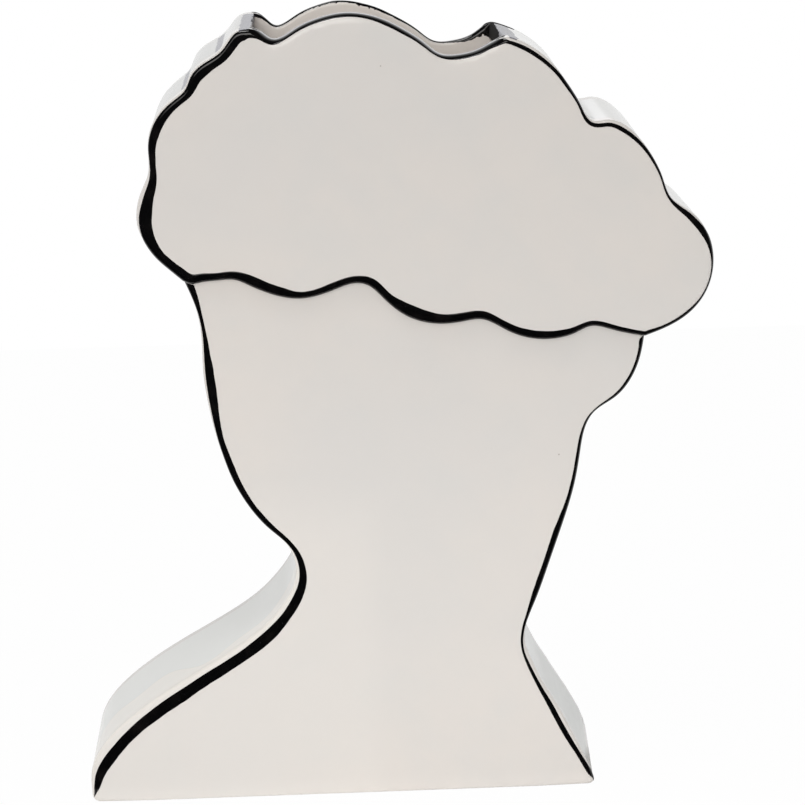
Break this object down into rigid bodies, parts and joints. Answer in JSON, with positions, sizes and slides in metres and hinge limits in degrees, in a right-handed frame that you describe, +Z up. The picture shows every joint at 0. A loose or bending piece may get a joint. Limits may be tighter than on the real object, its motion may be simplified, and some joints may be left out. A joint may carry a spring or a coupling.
{
  "type": "vase",
  "caption": "Flat ceramic vase in the outline of a head and shoulders with lobed hair, a blank face and painted black edges, open along the top of the hair to hold stems.",
  "frame": {"origin": "under the middle of the vase's width and depth, on the ground", "axes": "+X to the right as seen from the front, +Y from the front to the back, +Z up"},
  "size_m": [0.2763, 0.0748, 0.3459],
  "materials": {
    "white_glaze": "glossy",
    "black_glaze": "glossy"
  },
  "bodies": {
    "root": {"front_hair_panel": "white_glaze", "front_face_panel": "white_glaze", "back_hair_panel": "white_glaze", "back_face_panel": "white_glaze", "left_side_wall": "white_glaze", "right_side_wall": "white_glaze", "base_slab": "white_glaze", "front_hair_line": "black_glaze", "front_face_lines": "black_glaze", "back_hair_line": "black_glaze", "back_face_lines": "black_glaze", "rim_glaze": "black_glaze"}
  },
  "joints": []
}
